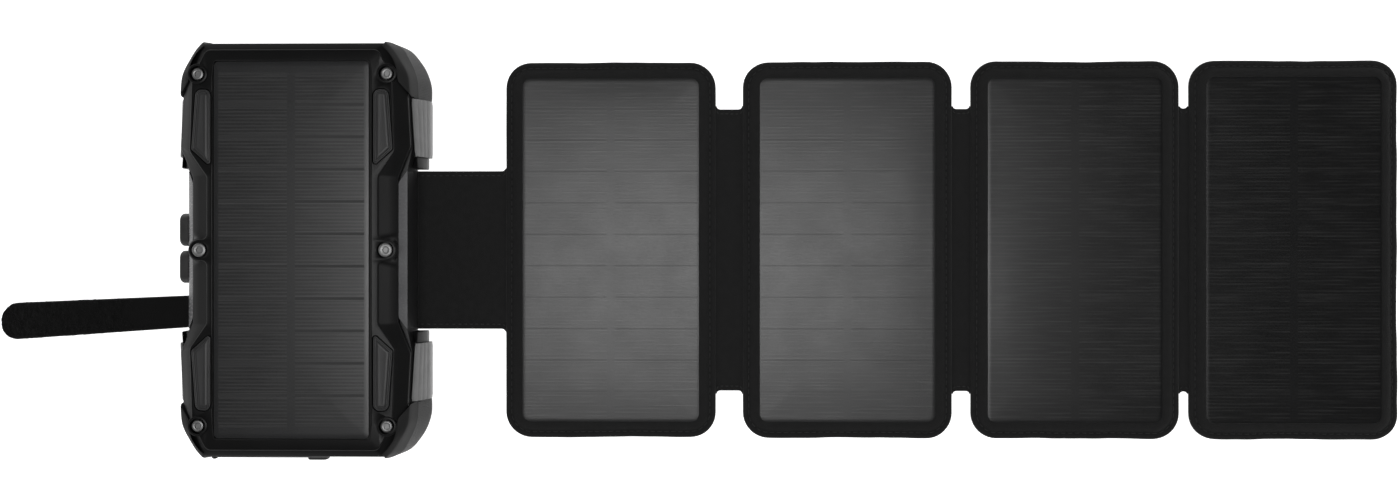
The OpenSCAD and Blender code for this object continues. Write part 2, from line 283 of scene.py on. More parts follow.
def thread_material(name, value):
    n = Nodes(name)
    _, x, y = n.uv()
    twist = n.math("SINE", n.math("MULTIPLY", n.math("ADD", x, y), 14.0))
    # painted shade: the twist that shapes the bump also darkens the colour in the grooves between plies and
    # lightens the ridges
    n.set(Base_Color=n.mix(n.range(twist, -1, 1), grey(value * 0.7), grey(value * 1.2)),
          Roughness=0.7, Specular_IOR_Level=0.35)
    n.bump(twist, 0.4, 0.00005)
    return n.material


def metal(name, value, rough=0.3, tint=(1.0, 1.0, 1.0)):
    n = Nodes(name)
    uv, _, _ = n.uv()
    marks = n.noise(uv, 2.5, 4.0)
    n.set(Base_Color=grey(value, tint), Metallic=1.0,
          Roughness=n.range(marks, 0.3, 0.7, rough - 0.06, rough + 0.08))
    n.bump(marks, 0.15, 0.00003)
    return n.material


def solar_laminate(name, rows, row_pitch, half_w, half_l, centre_gap=1.5, margin=1.9, base=0.012,
                   line_gain=1.0, rough=0.33, even=0.0,
                   seam_gain=1.0):
    """Two columns of cell strips under a satin film, with finger lines, dark row seams with paler
    edges and a plain centre bus. even=1 gives unbroken finger lines. The UV map is in millimetres
    from the laminate's centre."""
    n = Nodes(name)
    uv, x, y = n.uv()
    stretch = n.tree.nodes.new("ShaderNodeMapping")
    stretch.inputs["Scale"].default_value = (0.045, 1.0, 1.0)
    n.link(uv, stretch.inputs["Vector"])
    streak = n.noise(stretch.outputs[0], 1.1, 4.0, 0.6)
    drift = n.noise(stretch.outputs[0], 0.5, 2.0)
    across = n.math("ABSOLUTE", x)
    in_column = n.math("MULTIPLY", n.range(across, centre_gap - 0.1, centre_gap + 0.1),
                       n.range(across, half_w - margin + 0.1, half_w - margin - 0.1))
    span = rows * row_pitch / 2
    in_rows = n.range(n.math("ABSOLUTE", y), min(span, half_l - 0.8), min(span, half_l - 0.8) - 0.2)
    cell = n.math("MULTIPLY", in_column, in_rows)
    place = n.math("FRACT", n.math("DIVIDE", n.math("ADD", y, span), row_pitch))
    from_seam = n.math("MULTIPLY", n.math("SUBTRACT", 0.5, n.math("ABSOLUTE",
                                          n.math("SUBTRACT", place, 0.5))), row_pitch)
    seam = n.range(from_seam, 0.34 + 0.4 * even, 0.12 + 0.2 * even, 0, seam_gain)
    seam = n.math("MULTIPLY", seam, cell)
    flank = n.math("MULTIPLY", n.math("MULTIPLY", n.range(from_seam, 0.4, 0.55),
                                      n.range(from_seam, 1.0, 0.7)), cell)
    phase = n.math("ADD", n.math("MULTIPLY", y, 2 * math.pi / 1.32), n.math("MULTIPLY", drift, 2.5))
    fingers = n.range(n.math("SINE", phase), -0.2, 0.9)
    broken = n.range(streak, 0.32, 0.62, even * 0.75, 1)
    finger = n.math("MULTIPLY", n.math("MULTIPLY", fingers, broken), cell)
    lit = n.math("ADD", n.math("MULTIPLY", finger, 0.55 - 0.25 * even),
                 n.math("MULTIPLY", flank, 0.35))
    streaks = n.range(streak, 0.35, 0.7, -0.3 + 0.25 * even, 0.35 - 0.2 * even)
    lit = n.math("ADD", lit, n.math("MULTIPLY", streaks, cell))
    lit = n.math("SUBTRACT", lit, n.math("MULTIPLY", seam, 0.9), clamp=True)
    cloud = n.noise(uv, 0.06, 3.0)
    blue = (0.97, 0.99, 1.05)
    dark = n.mix(cell, grey(base * 0.62, blue), grey(base * 0.42, blue))
    base_colour = n.mix(lit, dark, grey(base * (1.6 + 2.2 * line_gain), (1.0, 1.0, 1.0)))
    grain = n.noise(uv, 1.4, 5.0, 0.7)
    n.set(Base_Color=n.mix(n.range(grain, 0.3, 0.75, 0.0, 0.22), base_colour, grey(base * 2.5)),
          Roughness=n.math("ADD", n.range(seam, 0, 1, rough, rough + 0.22),
                           n.math("ADD", n.range(grain, 0.3, 0.7, -0.035, 0.035),
                                  n.range(cloud, 0.3, 0.7, -0.02, 0.02))),
          Specular_IOR_Level=0.5)
    height = n.math("ADD", n.math("MULTIPLY", lit, 0.5), n.math("MULTIPLY", grain, 0.6))
    n.bump(height, 0.35, 0.00004)
    return n.material


# ---------------------------------------------------------------- mesh helpers


def new_object(name, verts, faces, materials, smooth_angle=38, uv_origin=(0, 0)):
    """A mesh from millimetre points, with a box-mapped UV map in millimetres."""
    mesh = bpy.data.meshes.new(name)
    mesh.from_pydata([(x * MM, y * MM, z * MM) for x, y, z in verts], [], faces)
    return finish_mesh(name, mesh, materials, smooth_angle, uv_origin)


def finish_mesh(name, mesh, materials, smooth_angle=38, uv_origin=(0, 0)):
    bm = bmesh.new()
    bm.from_mesh(mesh)
    bmesh.ops.recalc_face_normals(bm, faces=bm.faces)
    bm.to_mesh(mesh)
    bm.free()
    mesh.materials.clear()
    for material in materials if isinstance(materials, (list, tuple)) else [materials]:
        mesh.materials.append(material)
    mesh.shade_smooth()
    mesh.set_sharp_from_angle(angle=math.radians(smooth_angle))
    box_uv(mesh, uv_origin)
    obj = bpy.data.objects.new(name, mesh)
    bpy.context.collection.objects.link(obj)
    return obj


def box_uv(mesh, origin=(0, 0)):
    while mesh.uv_layers:
        mesh.uv_layers.remove(mesh.uv_layers[0])
    layer = mesh.uv_layers.new(name="mm")
    for face in mesh.polygons:
        nx, ny, nz = (abs(c) for c in face.normal)
        for loop in face.loop_indices:
            x, y, z = (c / MM for c in mesh.vertices[mesh.loops[loop].vertex_index].co)
            x, y = x - origin[0], y - origin[1]
            if nz >= max(nx, ny) * 0.7:
                layer.data[loop].uv = (x, y)
            elif nx > ny:
                layer.data[loop].uv = (y, z)
            else:
                layer.data[loop].uv = (x, z)


def applied(obj):
    """obj with its modifiers turned into plain mesh."""
    bpy.context.view_layer.update()
    graph = bpy.context.evaluated_depsgraph_get()
    mesh = bpy.data.meshes.new_from_object(obj.evaluated_get(graph))
    obj.modifiers.clear()
    old = obj.data
    obj.data = mesh
    bpy.data.meshes.remove(old)
    return obj


def cut(obj, cutters, smooth_angle=38):
    """obj with the cutters' volumes taken out of it."""
    materials = list(obj.data.materials)
    for cutter in cutters:
        modifier = obj.modifiers.new("cut", "BOOLEAN")
        modifier.operation = "DIFFERENCE"
        modifier.solver = "EXACT"
        modifier.object = cutter
        applied(obj)
    for cutter in cutters:
        bpy.data.objects.remove(cutter)
    mesh = obj.data
    mesh.materials.clear()
    for material in materials:
        mesh.materials.append(material)
    mesh.shade_smooth()
    mesh.set_sharp_from_angle(angle=math.radians(smooth_angle))
    box_uv(mesh)
    return obj


def fillet(a, b, c, radius, steps=6):
    """Points of the arc that rounds corner b between a and c."""
    a, b, c = Vector(a), Vector(b), Vector(c)
    u, v = (a - b).normalized(), (c - b).normalized()
    half = math.acos(max(-1, min(1, u.dot(v)))) / 2
    if radius <= 0 or half > math.pi / 2 - 1e-3:
        return [tuple(b)] * (steps + 1)
    centre = b + (u + v).normalized() * radius / math.sin(half)
    start = b + u * radius / math.tan(half) - centre
    end = b + v * radius / math.tan(half) - centre
    a0 = math.atan2(start.y, start.x)
    turn = (math.atan2(end.y, end.x) - a0 + math.pi) % (2 * math.pi) - math.pi
    return [(centre.x + radius * math.cos(a0 + turn * i / steps),
             centre.y + radius * math.sin(a0 + turn * i / steps)) for i in range(steps + 1)]


def rounded(points, radii, steps=6):
    ring = []
    for i, point in enumerate(points):
        ring += fillet(points[i - 1], point, points[(i + 1) % len(points)], radii[i % len(radii)],
                       steps)
    return ring


def densified(ring, step):
    """The closed ring with its long edges divided, so that no piece is longer than step."""
    out = []
    for i, p in enumerate(ring):
        q = ring[(i + 1) % len(ring)]
        pieces = max(1, math.ceil(math.dist(p, q) / step))
        out += [(p[0] + (q[0] - p[0]) * k / pieces, p[1] + (q[1] - p[1]) * k / pieces)
                for k in range(pieces)]
    return out


def rounded_rect(x0, y0, x1, y1, radius, steps=6):
    return rounded([(x0, y0), (x1, y0), (x1, y1), (x0, y1)], [radius], steps)


def inset(ring, distance):
    """The counter-clockwise ring moved inwards by distance, point by point."""
    out = []
    count = len(ring)
    for i, p in enumerate(ring):
        before, after = ring[i - 1], ring[(i + 1) % count]
        k = 1
        while math.dist(before, p) < 1e-6 and k < count:
            k += 1
            before = ring[i - k]
        k = 1
        while math.dist(after, p) < 1e-6 and k < count:
            k += 1
            after = ring[(i + k) % count]
        d0 = (Vector(p) - Vector(before)).normalized()
        d1 = (Vector(after) - Vector(p)).normalized()
        n0, n1 = Vector((-d0.y, d0.x)), Vector((-d1.y, d1.x))
        bisector = (n0 + n1).normalized()
        reach = distance / max(0.45, bisector.dot(n0))
        out.append((p[0] + bisector.x * reach, p[1] + bisector.y * reach))
    return out


def loft(name, rings, materials, close_start=True, close_end=True, smooth_angle=38,
         uv_origin=(0, 0)):
    """A skin over closed rings of the same number of 3-D points."""
    count = len(rings[0])
    verts = [p for ring in rings for p in ring]
    faces = []
    for r in range(len(rings) - 1):
        for i in range(count):
            j = (i + 1) % count
            faces.append((r * count + i, r * count + j, (r + 1) * count + j, (r + 1) * count + i))
    if close_start:
        faces.append(tuple(range(count)))
    if close_end:
        faces.append(tuple((len(rings) - 1) * count + i for i in range(count)))
    obj = new_object(name, verts, faces, materials, smooth_angle, uv_origin)
    weld(obj)
    box_uv(obj.data, uv_origin)
    return obj


def weld(obj, distance=0.002):
    bm = bmesh.new()
    bm.from_mesh(obj.data)
    bmesh.ops.remove_doubles(bm, verts=bm.verts, dist=distance * MM)
    bmesh.ops.dissolve_degenerate(bm, dist=distance * MM, edges=bm.edges)
    bmesh.ops.recalc_face_normals(bm, faces=bm.faces)
    bm.to_mesh(obj.data)
    bm.free()


def at_height(ring, z):
    return [(p[0], p[1], z(p) if callable(z) else z) for p in ring]


def prism(name, ring, z0, z1, materials=(), edge=0.0):
    """An upright prism with its top and bottom edges rounded by edge."""
    if edge:
        rings = [at_height(inset(ring, edge), z0), at_height(inset(ring, edge * 0.3), z0 + edge * 0.3),
                 at_height(ring, z0 + edge), at_height(ring, z1 - edge),
                 at_height(inset(ring, edge * 0.3), z1 - edge * 0.3), at_height(inset(ring, edge), z1)]
    else:
        rings = [at_height(ring, z0), at_height(ring, z1)]
    return loft(name, rings, list(materials) or [None])


def circle(x, y, radius, count=40):
    return [(x + radius * math.cos(2 * math.pi * i / count),
             y + radius * math.sin(2 * math.pi * i / count)) for i in range(count)]


def lathe(name, profile, at, materials, count=40, axis="z"):
    """A round piece from (radius, height) points, standing at a place along z, x or y."""
    rings = []
    for radius, height in profile:
        ring = circle(0, 0, radius, count)
        if axis == "z":
            rings.append([(at[0] + x, at[1] + y, at[2] + height) for x, y in ring])
        elif axis == "x":
            rings.append([(at[0] + height, at[1] + x, at[2] + y) for x, y in ring])
        else:
            rings.append([(at[0] + x, at[1] + height, at[2] + y) for x, y in ring])
    return loft(name, rings, materials)


def joined(name, objects):
    """The objects as one object. They keep their materials."""
    bm = bmesh.new()
    materials = []
    for obj in objects:
        start = len(bm.faces)
        bm.from_mesh(obj.data)
        bm.faces.ensure_lookup_table()
        slots = []
        for material in obj.data.materials:
            if material not in materials:
                materials.append(material)
            slots.append(materials.index(material))
        for face in bm.faces[start:]:
            face.material_index = slots[face.material_index] if slots else 0
    mesh = bpy.data.meshes.new(name)
    bm.to_mesh(mesh)
    bm.free()
    for material in materials:
        mesh.materials.append(material)
    for obj in objects:
        bpy.data.objects.remove(obj)
    result = bpy.data.objects.new(name, mesh)
    bpy.context.collection.objects.link(result)
    return result


def wobble(x, y, seed, size, amount):
    """Smooth noise between -amount and amount, with bumps about size millimetres across."""
    return noise.noise(Vector((x / size, y / size, seed * 7.31))) * amount * 1.6


def place(obj, body, slot, *nodes):
    """Rides obj on a body and lets it stand for CAD nodes, which it hides. The slot is not used."""
    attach(obj, body)
    if nodes:
        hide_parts(*nodes)
    return obj


def stitches(points, z_sign, pitch=2.7, length=2.0, radius=0.2):
    """Verts and faces of thread stitches along a path of (x, y, z) points."""
    verts, faces = [], []
    lengths = [0.0]
    for a, b in zip(points, points[1:]):
        lengths.append(lengths[-1] + math.dist(a, b))
    total = lengths[-1]
    count = max(1, round(total / pitch))

    def at(s):
        s = max(0.0, min(total, s))
        for i in range(1, len(lengths)):
            if s <= lengths[i] or i == len(lengths) - 1:
                span = lengths[i] - lengths[i - 1] or 1.0
                f = (s - lengths[i - 1]) / span
                return Vector(points[i - 1]).lerp(Vector(points[i]), f)

    for k in range(count):
        middle = (k + 0.5) * total / count
        base = len(verts)
        for step, (f, lift, girth) in enumerate(((-0.5, -0.25, 0.45), (-0.38, 0.04, 0.9),
                (-0.15, 0.14, 1.05), (0.15, 0.14, 1.05), (0.38, 0.04, 0.9), (0.5, -0.25, 0.45))):
            centre = at(middle + f * length)
            along = (at(middle + f * length + 0.1) - at(middle + f * length - 0.1)).normalized()
            side = Vector((-along.y, along.x, 0))
            for a in range(6):
                angle = a * math.pi / 3
                offset = side * math.cos(angle) * radius * girth
                rise = math.sin(angle) * radius * girth + lift * z_sign
                verts.append((centre.x + offset.x, centre.y + offset.y, centre.z + rise))
            if step:
                for a in range(6):
                    b = (a + 1) % 6
                    low, high = base + (step - 1) * 6, base + step * 6
                    faces.append((low + a, low + b, high + b, high + a))
        faces.append(tuple(base + a for a in range(6)))
        faces.append(tuple(base + 30 + a for a in range(6)))
    return verts, faces


# ---------------------------------------------------------------- materials

add_camera()

CASE = moulded_plastic("case_plastic", 0.01, 0.5, specular=0.35)
FRAME = moulded_plastic("frame_plastic", 0.004, 0.38, grain=0.3, specular=0.22)
RUBBER = dotted_rubber("bumper_rubber", 0.024)
CAP_RUBBER = smooth_rubber("bumper_cap", 0.012, 0.62, 0.2)
GRIP = smooth_rubber("grip_rubber", 0.16, 0.5)
INLAY_PLASTIC = moulded_plastic("inlay_plastic", 0.02, 0.42)
# the trim's albedo of 0.11, eleven times the case plastic's, is a painted highlight: it stands in for the
# bright reflection the waist crescents catch
TRIM = moulded_plastic("trim_gloss_painted_highlight", 0.11, 0.24, grain=0.8, specular=0.3)
GASKET = smooth_rubber("gasket_rubber", 0.005, 0.7)
BUTTON = smooth_rubber("button_rubber", 0.03, 0.5)
STEEL = metal("screw_steel", 0.27, 0.46)
SOCKET = metal("socket_steel", 0.62, 0.32)
FABRIC = woven_fabric("panel_fabric", 0.013)
STRAP = hook_tape("strap_tape", 0.003)
THREAD = thread_material("thread", 0.025)
BOARD = moulded_plastic("board_green", 0.05, 0.4, tint=(0.2, 1.0, 0.35))
CELL = metal("cell_foil", 0.55, 0.45)
STIFFENER = moulded_plastic("stiffener_board", 0.4, 0.7, tint=(1.0, 0.92, 0.75))
LED = moulded_plastic("led_phosphor", 0.7, 0.4, tint=(1.0, 0.85, 0.25))


def clear_plastic():
    n = Nodes("clear_plastic")
    uv, _, _ = n.uv()
    n.set(Base_Color=grey(0.75), Roughness=n.range(n.noise(uv, 1.5), 0.3, 0.7, 0.08, 0.16),
          IOR=1.49, Transmission_Weight=0.7)
    n.bump(n.noise(uv, 1.1, 2.0), 0.1, 0.00003)
    return n.material


CLEAR = clear_plastic()

# ---------------------------------------------------------------- case outlines

frame_low, frame_high = mm_box("front_frame")
HALF_LEN = frame_high[1]
END_X = frame_high[0]
SEAM_Z = mm_box("side_trim_1")[0][2]
FRAME_Z = frame_low[2]
FACE_Z = mm_box("body_laminate")[1][2]
PLATE_Z = FACE_Z - 0.9
BAND_Z = SEAM_Z + 2.6
WAIST_SHELL = 41.7
WAIST_FRAME = 38.8
PLATE_WAIST = 32.3
WALL = 2.2
BOSS_R = 4.1
BOSS_STEPS = 16
FLARE_R = 2.0
FLARE_STEPS = 8
COLLAR_R = 3.8
MIDDLE_X = 35.0
SCREWS = [(35.5, 65.8), (-35.5, 65.8), (-35.5, -65.8), (35.5, -65.8), (MIDDLE_X, 0), (-MIDDLE_X, 0)]


def quarter(points, radii, waist_points):
    """A full outline from its +X +Y quarter. waist_points run up the +X side between quarters."""
    up = []
    count = len(points)
    start = waist_points[-1]
    for i, p in enumerate(points):
        before = start if i == 0 else points[i - 1]
        after = points[i + 1] if i + 1 < count else (0.0, p[1])
        up += fillet(before, p, after, radii[i])
    upper = [p for p in waist_points if p[1] >= 0] + up
    left = [(-x, y) for x, y in reversed(upper)]
    lower_left = [(-x, -y) for x, y in upper]
    right = [(x, -y) for x, y in reversed(upper)]
    ring = upper + left + lower_left + right
    return ring


def case_outline(waist):
    """Narrow at the waist, wide at the ends, with cut corners."""
    count = BOSS_STEPS + FLARE_STEPS
    side = [(waist, 9.0 * k / count + 0.01) for k in range(count + 1)]
    return quarter([(waist, waist - 11.8), (END_X, 38.8), (END_X - 1.5, 66.4), (34.9, HALF_LEN)],
                   [4, 4, 4, 2], side)


def plate_outline():
    """The raised plate: it bulges round each middle screw, with a hollow curve beside the bulge."""
    x0 = PLATE_WAIST
    flare_x = x0 + FLARE_R
    flare_y = math.sqrt((BOSS_R + FLARE_R) ** 2 - (MIDDLE_X - flare_x) ** 2)
    end = math.atan2(flare_y, flare_x - MIDDLE_X)
    side = [(MIDDLE_X + BOSS_R * math.cos(end * k / BOSS_STEPS),
             BOSS_R * math.sin(end * k / BOSS_STEPS) + 0.01) for k in range(BOSS_STEPS + 1)]
    for k in range(1, FLARE_STEPS + 1):
        angle = end - math.pi - end * k / FLARE_STEPS
        side.append((flare_x + FLARE_R * math.cos(angle), flare_y + FLARE_R * math.sin(angle)))
    return quarter([(x0, 27.5), (38.6, 36.8), (37.7, 64.0), (32.4, HALF_LEN - 2.6)],
                   [3, 3, 4, 3], side)


SHELL_RING = case_outline(WAIST_SHELL)
FRAME_RING = case_outline(WAIST_FRAME)
PLATE_RING = plate_outline()


def onto_rect(ring, hx, hy, radius):
    """Each point's nearest point on a rounded rectangle."""
    out = []
    for x, y in ring:
        qx = max(-hx + radius, min(hx - radius, x))
        qy = max(-hy + radius, min(hy - radius, y))
        d = math.hypot(x - qx, y - qy) or 1.0
        out.append((qx + (x - qx) * radius / d, qy + (y - qy) * radius / d))
    return out


def between(a, b, f):
    return [(p[0] + (q[0] - p[0]) * f, p[1] + (q[1] - p[1]) * f) for p, q in zip(a, b)]


def ease(x, low, high):
    f = max(0.0, min(1.0, (x - low) / (high - low)))
    return f * f * (3 - 2 * f)


# ---------------------------------------------------------------- case pieces


def box_cutter(x0, y0, z0, x1, y1, z1, radius=0.0):
    ring = [(x0, y0), (x1, y0), (x1, y1), (x0, y1)]
    if radius:
        ring = rounded_rect(x0, y0, x1, y1, radius)
    return prism("cutter", ring, z0, z1)


INLAY = [(30.5, 60.0), (30.5, 31.0), (37.8, 37.6), (36.2, 60.0)]
INLAY_RADII = [2.5, 0.9, 1.0, 2.5]


def inlay_ring(sx, sy, s):
    """The inlay's outline with every edge moved in by s."""
    count = len(INLAY)
    moved = []
    for i, p in enumerate(INLAY):
        a, b, c = Vector(INLAY[i - 1]), Vector(p), Vector(INLAY[(i + 1) % count])
        d0, d1 = (b - a).normalized(), (c - b).normalized()
        n0, n1 = Vector((-d0.y, d0.x)), Vector((-d1.y, d1.x))
        moved.append(tuple(b + (n0 + n1) * s / (1 + n0.dot(n1))))
    ring = rounded(moved, [max(0.2, r - s) for r in INLAY_RADII], 6)
    ring = densified_like(ring)
    return [(x * sx, y * sy) for x, y in ring]


def densified_like(ring):
    """The closed ring with each edge cut in four, so that rings of one shape still match."""
    return [(p[0] + (q[0] - p[0]) * k / 4, p[1] + (q[1] - p[1]) * k / 4)
            for p, q in zip(ring, ring[1:] + ring[:1]) for k in range(4)]


CORNERS = {1: (1, 1), 2: (-1, 1), 3: (-1, -1), 4: (1, -1)}


def make_front_frame():
    deck = mm_box("body_laminate")[1]
    rim = (deck[0] + 0.8, deck[1] + 0.9)
    pocket = (deck[0] + 0.4, deck[1] + 0.5)

    def band(p):
        return BAND_Z + 1.6 * ease(abs(p[1]), 66, 76)

    def lower(p):
        """How far the plate falls away to its edge along the waist."""
        return 0.28 * (1 - ease(abs(p[1]), 27, 33))

    rings = [
        at_height(inset(PLATE_RING, WALL), PLATE_Z - WALL),
        at_height(inset(FRAME_RING, WALL + 0.2), SEAM_Z + 1.8),
        at_height(inset(FRAME_RING, WALL), FRAME_Z),
        at_height(inset(FRAME_RING, 0.25), FRAME_Z),
        at_height(FRAME_RING, FRAME_Z + 0.25),
        at_height(FRAME_RING, lambda p: band(p) - 0.3),
        at_height(inset(FRAME_RING, 0.1), lambda p: band(p) - 0.1),
        at_height(inset(FRAME_RING, 0.4), lambda p: band(p) + 0.05),
        at_height(between(FRAME_RING, PLATE_RING, 0.5), lambda p: (band(p) + PLATE_Z - 0.35) / 2),
        at_height(inset(PLATE_RING, -0.3), lambda p: PLATE_Z - 0.65 - lower(p)),
        at_height(PLATE_RING, lambda p: PLATE_Z - 0.5 - lower(p)),
        at_height(inset(PLATE_RING, 0.05), lambda p: PLATE_Z - 0.22 - lower(p)),
        at_height(inset(PLATE_RING, 0.2), lambda p: PLATE_Z - 0.07 - lower(p)),
        at_height(inset(PLATE_RING, 0.4), lambda p: PLATE_Z - 0.9 * lower(p)),
    ]
    for grow, z, tilt in ((0.3, 0.0, 0.4), (0.1, 0.03, 0.4), (0.0, 0.12, 0.2), (-0.08, 0.26, 0),
                          (-0.2, 0.32, 0), (-0.3, 0.32, 0)):
        ring = onto_rect(PLATE_RING, rim[0] + grow, rim[1] + grow, 3.0 + grow)
        rings.append([(x, y, PLATE_Z + z + tilt * lower((x, y))) for x, y in ring])
    for grow, z in ((0.08, 0.3), (0.0, 0.22), (0.0, -0.3)):
        rings.append(at_height(onto_rect(PLATE_RING, pocket[0] + grow, pocket[1] + grow, 2.0),
                               PLATE_Z + z))
    frame_obj = loft("front_frame_shell", rings, [FRAME], smooth_angle=50)

    collars = []
    for x, y in SCREWS[:4]:
        profile = [(2.95, -3.2), (2.95, 0.2), (3.05, 0.3), (3.45, 0.3), (3.75, 0.12),
                   (COLLAR_R, -0.1), (COLLAR_R + 0.1, -3.2)]
        collars.append(lathe("collar", profile, (x, y, PLATE_Z), [FRAME], 48))
    cutters = []
    for k, (x, y) in enumerate(SCREWS):
        bore = 2.95 if k < 4 else 3.1
        profile = [(bore, 0), (bore, 1.85), (bore + 0.2, 2.05), (bore + 0.2, 4)]
        cutters.append(lathe("cutter", profile, (x, y, PLATE_Z - 2.0), [None]))
    for sx, sy in CORNERS.values():
        cutters.append(loft("cutter", [at_height(inlay_ring(sx, sy, s), PLATE_Z + z) for s, z in (
            (-0.1, -0.75), (-0.15, -0.35), (-0.4, 0.02), (-0.4, 2.0))], [None]))
    cut(frame_obj, [joined("cutters", cutters)], 50)
    place(frame_obj, "case", "frame_plastic", "front_frame")
    collars = joined("screw_collars", collars)
    box_uv(collars.data)
    place(collars, "case", "frame_plastic")


def make_inlays():
    for i, (sx, sy) in CORNERS.items():
        rings = [at_height(inlay_ring(sx, sy, s), PLATE_Z + z) for s, z in (
            (0.1, -0.6), (0.0, -0.2), (0.08, 0.1), (0.25, 0.22), (0.42, 0.16), (0.6, -0.1),
            (0.95, -0.14), (1.15, 0.06), (1.5, 0.26), (1.9, 0.34), (2.3, 0.3))]
        inlay = loft(f"inlay_bead_{i}", rings, [INLAY_PLASTIC], smooth_angle=60)
        place(inlay, "case", "inlay_plastic", f"inlay_{i}")


def make_screws():
    heads = []
    for k, (x, y) in enumerate(SCREWS):
        top = PLATE_Z + (0.1 if k < 4 else 0.25)
        r = 2.2 if k < 4 else 2.6
        profile = [(1.2, -3.0), (1.2, -1.5), (r, -1.5), (r + 0.03, -0.6), (r - 0.12, -0.2),
                   (r - 0.45, -0.03), (1.35, 0.0), (1.22, -0.08)]
        head = lathe("head", profile, (x, y, top), [STEEL], 40)
        socket = [(x + 1.1 * math.cos(a * math.pi / 3 + k), y + 1.1 * math.sin(a * math.pi / 3 + k))
                  for a in range(6)]
        heads.append(cut(head, [prism("cutter", socket, top - 0.75, top + 1)]))
    heads = joined("screw_heads", heads)
    box_uv(heads.data)
    place(heads, "case", "screw_steel", "frame_screws")


def make_rear_shell():
    port_low = mm_box("port_cover")[0]
    rings = [
        at_height(inset(FRAME_RING, WALL), 4.2),
        at_height(inset(FRAME_RING, WALL), SEAM_Z - 0.05),
        at_height(inset(SHELL_RING, 0.5), SEAM_Z),
        at_height(inset(SHELL_RING, 0.12), SEAM_Z - 0.12),
        at_height(SHELL_RING, SEAM_Z - 0.5),
        at_height(SHELL_RING, 2.0),
        at_height(inset(SHELL_RING, 0.2), 1.1),
        at_height(inset(SHELL_RING, 0.75), 0.35),
        at_height(inset(SHELL_RING, 1.6), 0.0),
    ]
    shell = loft("rear_shell_body", rings, [CASE], smooth_angle=50)
    strap = mm_box("strap_root")
    strip = mm_box("strip_root")
    plate = mm_box("clamp_plate")
    cutters = [
        box_cutter(plate[0][0] - 1, plate[0][1] - 1, -1, plate[1][0] + 1, plate[1][1] + 1, 2.4, 4.5),
        box_cutter(20, strip[0][1] - 0.5, -1, 60, strip[1][1] + 0.5, 2.4),
        box_cutter(-60, strap[0][1] - 0.6, -1, -20, strap[1][1] + 0.6, 2.4),
        box_cutter(-30, -HALF_LEN - 5, 6.2, 10.5, -HALF_LEN + 3.5, 12.6),
    ]
    for name in ("power_button", "light_button"):
        low, high = mm_box(name)
        middle = (low[1] + high[1]) / 2
        cutters.append(lathe("cutter", [(1.8, -50), (1.8, -30)], (0, middle, 10.5), [None], 24, "x"))
    for y in (17.5, 20.5, 23.5, 26.5):
        cutters.append(lathe("cutter", [(0.95, -50), (0.95, -30)], (0, y, 11), [None], 20, "x"))
    cutters.append(lathe("cutter", [(4.1, HALF_LEN - 4), (4.1, HALF_LEN - 0.6), (5, HALF_LEN + 0.3),
                                    (5, HALF_LEN + 4)], (0, 0, 9.5), [None], 40, "y"))
    cut(shell, cutters, 50)
    ears = []
    for z in (port_low[2] - 0.3, port_low[2] + 9.6):
        ring = rounded([(-33.1, -HALF_LEN - 1.75), (-30.9, -HALF_LEN - 1.75), (-30.9, -HALF_LEN + 0.6),
                        (-33.1, -HALF_LEN + 0.6)], [0.9, 0.9, 0.05, 0.05])
        ears.append(prism("ear", ring, z, z + 1.1, [CASE], 0.15))
    shell = joined("rear_shell_body_eared", [shell] + ears)
    shell.name = "rear_shell_body"
    box_uv(shell.data)
    place(shell, "case", "case_plastic", "rear_shell")


# Corner bumper: curves that its cross-section follows, from the end of the case to its side
CAP_INNER = [(33.5, 76.3, 20.1), (35.9, 73.9, 20.1), (38.0, 70.6, 20.05), (39.1, 67.0, 19.95),
             (39.3, 64.6, 19.8), (39.6, 62.8, 19.7)]
CAP_KNEE = [(34.3, 78.2, 18.9), (37.3, 75.1, 18.4), (40.0, 71.0, 18.1), (42.0, 67.4, 18.0),
            (43.0, 63.9, 17.95), (43.4, 58.0, 17.9)]
CAP_EDGE = [(34.6, 79.1, 12.5), (38.6, 76.9, 11.3), (41.4, 72.4, 10.9), (43.3, 68.2, 10.8),
            (44.4, 64.0, 10.8), (44.7, 57.4, 10.8)]
OUTER = [(34.2, 79.7, 5.0), (39.6, 77.4, 4.2), (43.6, 72.9, 4.0), (46.1, 68.6, 4.0),
         (47.7, 63.2, 4.0), (47.7, 57.0, 4.0)]
# Height above which a bumper shows its smooth cap
CAP_FROM = CAP_EDGE[3][2] + 0.1


def curve_point(points, t):
    """Catmull-Rom through the points, t from 0 to 1."""
    span = t * (len(points) - 1)
    i = min(int(span), len(points) - 2)
    f = span - i
    p = [Vector(points[max(0, min(len(points) - 1, k))]) for k in (i - 1, i, i + 1, i + 2)]
    return 0.5 * ((2 * p[1]) + (p[2] - p[0]) * f + (2 * p[0] - 5 * p[1] + 4 * p[2] - p[3]) * f * f
                  + (3 * p[1] - p[0] - 3 * p[2] + p[3]) * f ** 3)


